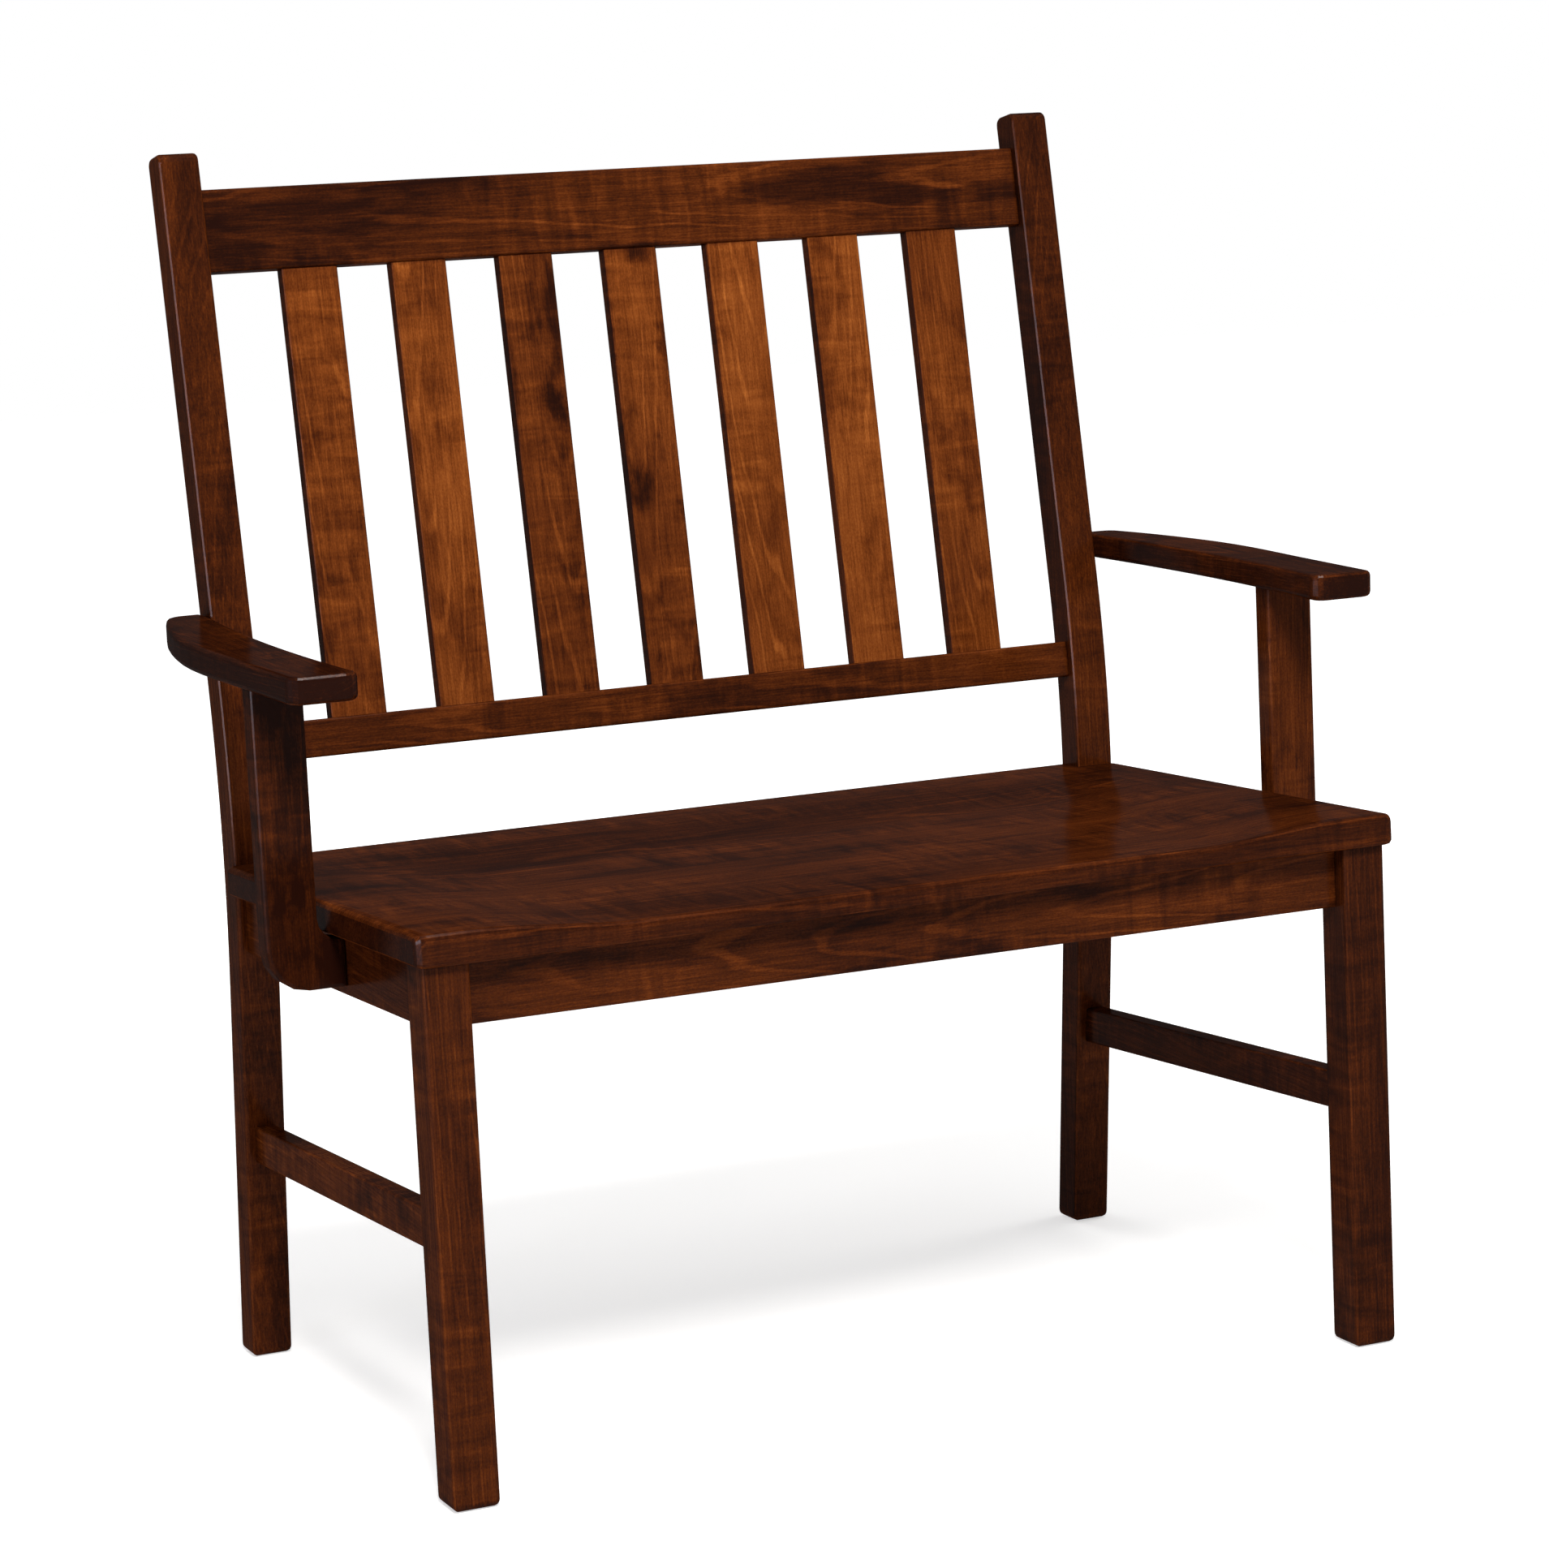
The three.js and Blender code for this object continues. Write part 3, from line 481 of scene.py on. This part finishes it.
armPosts = {
    "wood": {"blotch": 1.1, "rings": 0.7, "wearAndHighlight": 0.7, "heart": (0.05, 0.02, 0.06)},
    "boards": {
        "left": {"tone": 0.15, "seed": 81},
        "right": {"tone": 0.365, "seed": 86},
    },
}
dressAlike("arm_post_", armPosts, upwards, forwards)

cornerBlocks = {
    "wood": {"tone": 0.42, "blotch": 0.4, "rings": 0.6, "wearAndHighlight": 0.3},
    "middleSeed": 90,
}
for end, far in (("front", 1), ("rear", -1)):
    for side, hand in (("left", -1), ("right", 1)):
        dressInMaple("corner_block_" + end + "_" + side, (1, far * hand, 0),
                     (1, -far * hand, 0), seed=cornerBlocks["middleSeed"] + 2 * far + hand,
                     **cornerBlocks["wood"])
print("stage 3: every board has its own wood")

# dowels and screws

dowelLook = {
    "colours": ((0.42, 0.27, 0.14), (0.24, 0.13, 0.06)),
    "roughness": (0.5, 0.7),
    "streaks": (900.0, 900.0, 40.0),  # per metre
    "bump": (0.3, 0.0003),  # strength, metres
}
screwLook = {
    "colours": ((0.55, 0.54, 0.50), (0.30, 0.28, 0.24)),
    "roughness": (0.28, 0.5),
    "grime": (700.0, 700.0, 700.0),
    "bump": (0.2, 0.0002),
}


def startFastening(name):
    material = bpy.data.materials.new(name)
    material.use_nodes = True
    tree = material.node_tree
    coordinates = addNode(tree, "ShaderNodeTexCoord", (-900, 0))
    return material, tree, coordinates.outputs["Object"]


def finishFastening(tree, look, pattern, share, roughness):
    # pattern: the relief; share: how much of the second colour shows
    surface = tree.nodes["Principled BSDF"]
    mix = addNode(tree, "ShaderNodeMix", (-300, 100), data_type="RGBA")
    feed(tree, mix.inputs[0], share)
    mix.inputs[6].default_value = (*look["colours"][0], 1)
    mix.inputs[7].default_value = (*look["colours"][1], 1)
    feed(tree, surface.inputs["Base Color"], mix.outputs[2])
    feed(tree, surface.inputs["Roughness"], roughness)
    feed(tree, surface.inputs["Normal"], addBump(tree, pattern, *look["bump"]).outputs[0])


def bareBirch():
    look = dowelLook
    material, tree, place = startFastening("dowel_birch")
    streaks = cloud(tree, place, look["streaks"], detail=3.0)
    roughness = between(tree, streaks, 0.2, 0.8, *look["roughness"])
    finishFastening(tree, look, streaks, streaks, roughness)
    return material


def zincSteel():
    look = screwLook
    material, tree, place = startFastening("screw_zinc")
    tree.nodes["Principled BSDF"].inputs["Metallic"].default_value = 1.0
    grime = cloud(tree, place, look["grime"], detail=4.0, roughness=0.65)
    roughness = between(tree, grime, 0.3, 0.7, *look["roughness"])
    finishFastening(tree, look, grime, between(tree, grime, 0.4, 0.7), roughness)
    return material


fastenings = {"dowel": bareBirch(), "screw": zincSteel()}
for name, node in nodes.items():
    for word, material in fastenings.items():
        if word in name:
            node.data.materials.clear()
            node.data.materials.append(material)
print("stage 4: dowels and screws are finished")

# floor, backdrop and lamps

studio = {
    "fill": 0.20,  # strength of the room's own light
    "floorColour": (0.86, 0.86, 0.86),
    "floorReach": 14.0,
    "floorDrop": 0.0005,  # below the feet
    "glowNear": 0.56,  # the floor's own light round the bench, where the shadow lies
    "glowFar": 1.0,
    "glowFrom": 1.2,  # metres from the middle, where the near glow ends
    "glowTo": 3.2,
    "lampsAimAt": (0, 0, 0.55),
}


def whiteRays(tree):
    # 1 where the backdrop is seen, straight or in the lacquer, and 0 where it lights things
    path = addNode(tree, "ShaderNodeLightPath", (-700, -300))
    seen = maths(tree, "MAXIMUM", path.outputs["Is Camera Ray"],
                 path.outputs["Is Transmission Ray"])
    return maths(tree, "MAXIMUM", seen, path.outputs["Is Glossy Ray"])


def layFloor():
    reach, level = studio["floorReach"], -studio["floorDrop"]
    corners = [(-reach, -reach, level), (reach, -reach, level),
               (reach, reach, level), (-reach, reach, level)]
    mesh = bpy.data.meshes.new("studioFloor")
    mesh.from_pydata(corners, [], [(0, 1, 2, 3)])
    floor = bpy.data.objects.new("studioFloor", mesh)
    bpy.context.scene.collection.objects.link(floor)
    material = bpy.data.materials.new("paperFloor")
    material.use_nodes = True
    tree = material.node_tree
    tree.nodes.clear()
    paper = addNode(tree, "ShaderNodeBsdfDiffuse", (-300, 100))
    paper.inputs["Color"].default_value = (*studio["floorColour"], 1)
    glow = addNode(tree, "ShaderNodeEmission", (-300, -100))
    coordinates = addNode(tree, "ShaderNodeTexCoord", (-1100, -200))
    fromMiddle = addNode(tree, "ShaderNodeVectorMath", (-900, -200), operation="LENGTH")
    feed(tree, fromMiddle.inputs[0], coordinates.outputs["Object"])
    spread = between(tree, fromMiddle.outputs["Value"], studio["glowFrom"], studio["glowTo"],
                     studio["glowNear"], studio["glowFar"])
    feed(tree, glow.inputs["Strength"], maths(tree, "MULTIPLY", whiteRays(tree), spread))
    both = addNode(tree, "ShaderNodeAddShader", (0, 0))
    feed(tree, both.inputs[0], paper.outputs[0])
    feed(tree, both.inputs[1], glow.outputs[0])
    output = addNode(tree, "ShaderNodeOutputMaterial", (300, 0))
    feed(tree, output.inputs["Surface"], both.outputs[0])
    mesh.materials.append(material)


def hangBackdrop():
    world = bpy.data.worlds.new("studioRoom")
    bpy.context.scene.world = world
    world.use_nodes = True
    tree = world.node_tree
    tree.nodes.clear()
    room = addNode(tree, "ShaderNodeBackground", (-300, 100))
    room.inputs["Color"].default_value = (1, 1, 1, 1)
    room.inputs["Strength"].default_value = studio["fill"]
    white = addNode(tree, "ShaderNodeBackground", (-300, -100))
    white.inputs["Color"].default_value = (1, 1, 1, 1)
    white.inputs["Strength"].default_value = 1.0
    mix = addNode(tree, "ShaderNodeMixShader", (0, 0))
    feed(tree, mix.inputs[0], whiteRays(tree))
    feed(tree, mix.inputs[1], room.outputs[0])
    feed(tree, mix.inputs[2], white.outputs[0])
    output = addNode(tree, "ShaderNodeOutputWorld", (200, 0))
    feed(tree, output.inputs["Surface"], mix.outputs[0])


lamps = {  # place, size, power in watts, colour, lights the wood, shows in the lacquer
    "keySoftbox": ((-1.0, -3.0, 3.3), (1.0, 1.0), 190, (1.0, 0.97, 0.94), True, False),
    "leftFill": ((-2.4, -1.0, 0.8), (0.35, 1.7), 5, (0.84, 0.84, 1.0), True, False),
    "topFill": ((0.9, -0.5, 3.0), (2.2, 0.6), 18, (1.0, 0.98, 0.96), True, False),
    "backFill": ((-0.6, 3.6, 1.3), (2.0, 1.4), 40, (1.0, 0.98, 0.96), True, False),
    "rightFill": ((3.6, 0.6, 1.1), (1.4, 1.4), 25, (1.0, 0.98, 0.96), True, False),
    "leftShine": ((-3.6, -1.25, 0.96), (1.8, 1.68), 430, (0.84, 0.84, 1.0), False, True),
    "topShine": ((-0.1, -0.7, 3.0), (0.85, 0.8), 180, (1.0, 0.98, 0.96), False, True),
}


def hangLamps():
    target = Vector(studio["lampsAimAt"])
    for name, (place, size, power, colour, lightsWood, shines) in lamps.items():
        lamp = bpy.data.lights.new(name, "AREA")
        lamp.shape = "RECTANGLE"
        lamp.size, lamp.size_y = size
        lamp.energy = power
        lamp.color = colour
        holder = bpy.data.objects.new(name, lamp)
        holder.location = place
        holder.rotation_euler = (target - Vector(place)).to_track_quat("-Z", "Y").to_euler()
        holder.visible_camera = False
        holder.visible_diffuse = lightsWood
        holder.visible_glossy = shines
        bpy.context.scene.collection.objects.link(holder)


layFloor()
hangBackdrop()
hangLamps()
print("stage 5: floor, backdrop and lamps are set")

# camera where the photographer stood

photographer = {
    "place": (-1.53924, -3.45099, 1.08798),
    "round": 0.4198,  # radians from straight in front, towards the bench's left
    "down": 0.1527,
    "roll": 0.0472,
    "lens": 99.70,
    "sensorWidth": 36.0,
    "farthest": 60.0,
}


def placeCamera():
    view = photographer
    roundBy, down, roll = view["round"], view["down"], view["roll"]
    forward = Vector((math.sin(roundBy) * math.cos(down),
                      math.cos(roundBy) * math.cos(down),
                      -math.sin(down)))
    right = Vector((math.cos(roundBy), -math.sin(roundBy), 0))
    below = forward.cross(right)
    rightRolled = right * math.cos(roll) + below * math.sin(roll)
    belowRolled = -right * math.sin(roll) + below * math.cos(roll)
    turn = Matrix((rightRolled, -belowRolled, -forward)).transposed()
    data = bpy.data.cameras.new("photoCamera")
    data.sensor_width = view["sensorWidth"]
    data.lens = view["lens"]
    data.clip_end = view["farthest"]
    camera = bpy.data.objects.new("photoCamera", data)
    camera.location = view["place"]
    camera.rotation_euler = turn.to_euler()
    bpy.context.scene.collection.objects.link(camera)
    bpy.context.scene.camera = camera


placeCamera()
bpy.context.scene.view_settings.view_transform = "Standard"
print("stage 6: the camera is in place")
